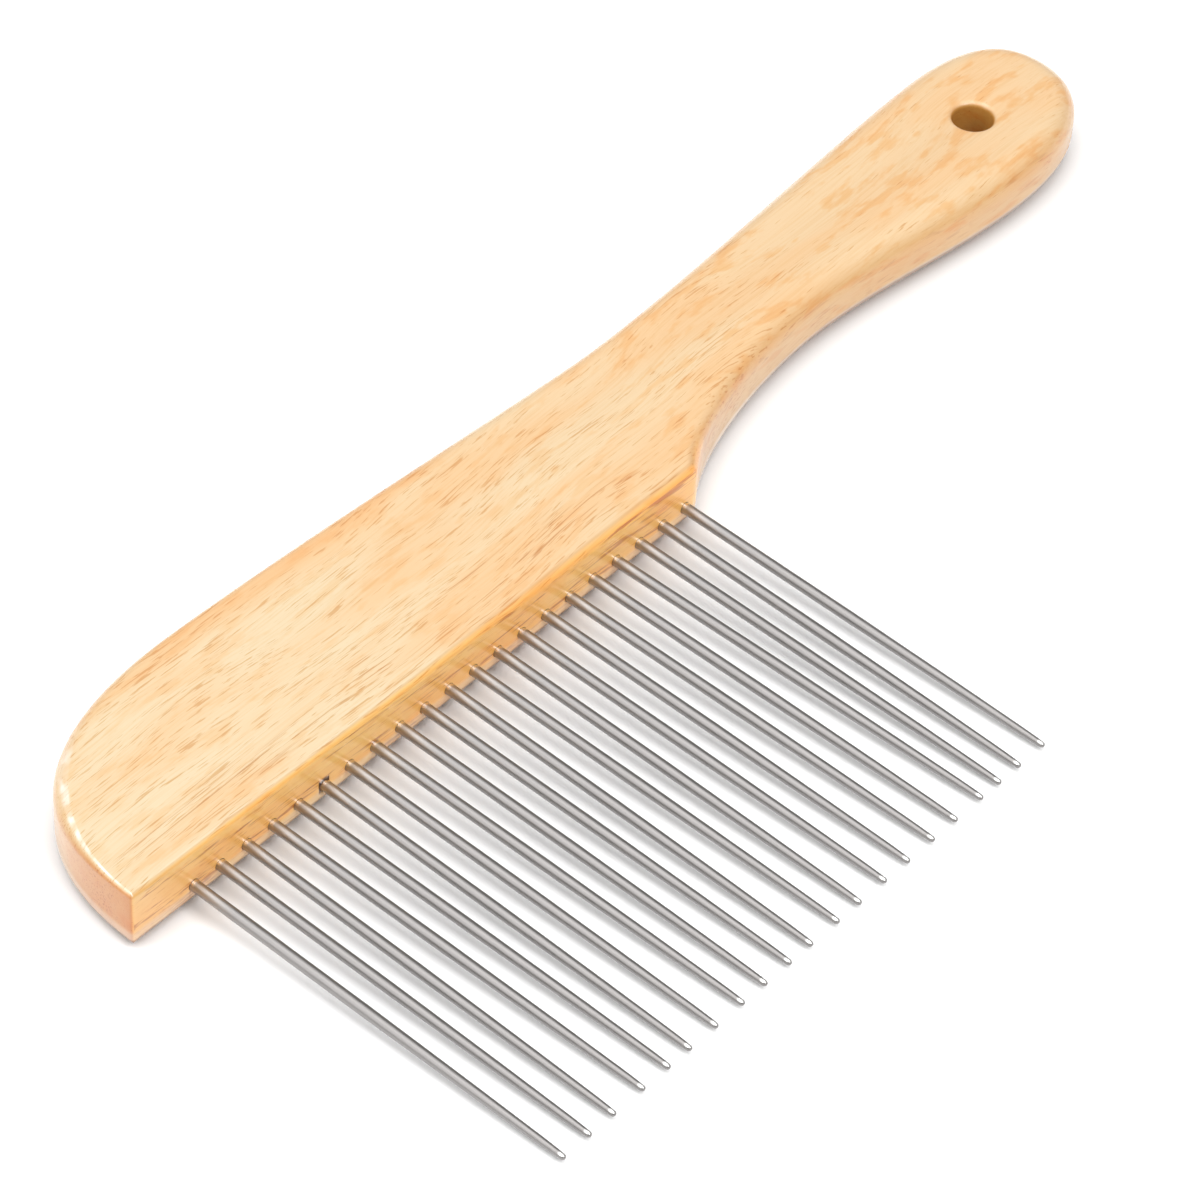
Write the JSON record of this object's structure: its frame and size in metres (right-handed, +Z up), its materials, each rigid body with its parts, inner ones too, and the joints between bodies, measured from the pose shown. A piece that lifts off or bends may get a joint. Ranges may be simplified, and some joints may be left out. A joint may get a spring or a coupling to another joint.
{
  "type": "weaving hand comb",
  "caption": "Flat hardwood hand comb with a rounded grip, a hanging hole, and one row of long straight taper-tipped steel pins along its head.",
  "frame": {"origin": "the middle, along the handle and across the whole comb, of the plane that the underside lies on", "axes": "+X runs along the handle from the head to the butt of the grip, -Y is the way the pins point, and +Z goes up through the board's thickness"},
  "size_m": [0.2466, 0.1092, 0.0115],
  "materials": {
    "lacquered_wood": "clear satin lacquer over pale straight-grained hardwood",
    "pin_steel": "bright drawn wire, polished at the tips"
  },
  "bodies": {
    "root": {"handle": "lacquered_wood", "pin_01": "pin_steel", "pin_02": "pin_steel", "pin_03": "pin_steel", "pin_04": "pin_steel", "pin_05": "pin_steel", "pin_06": "pin_steel", "pin_07": "pin_steel", "pin_08": "pin_steel", "pin_09": "pin_steel", "pin_10": "pin_steel", "pin_11": "pin_steel", "pin_12": "pin_steel", "pin_13": "pin_steel", "pin_14": "pin_steel", "pin_15": "pin_steel", "pin_16": "pin_steel", "pin_17": "pin_steel", "pin_18": "pin_steel", "pin_19": "pin_steel", "pin_20": "pin_steel", "pin_21": "pin_steel"}
  },
  "joints": []
}
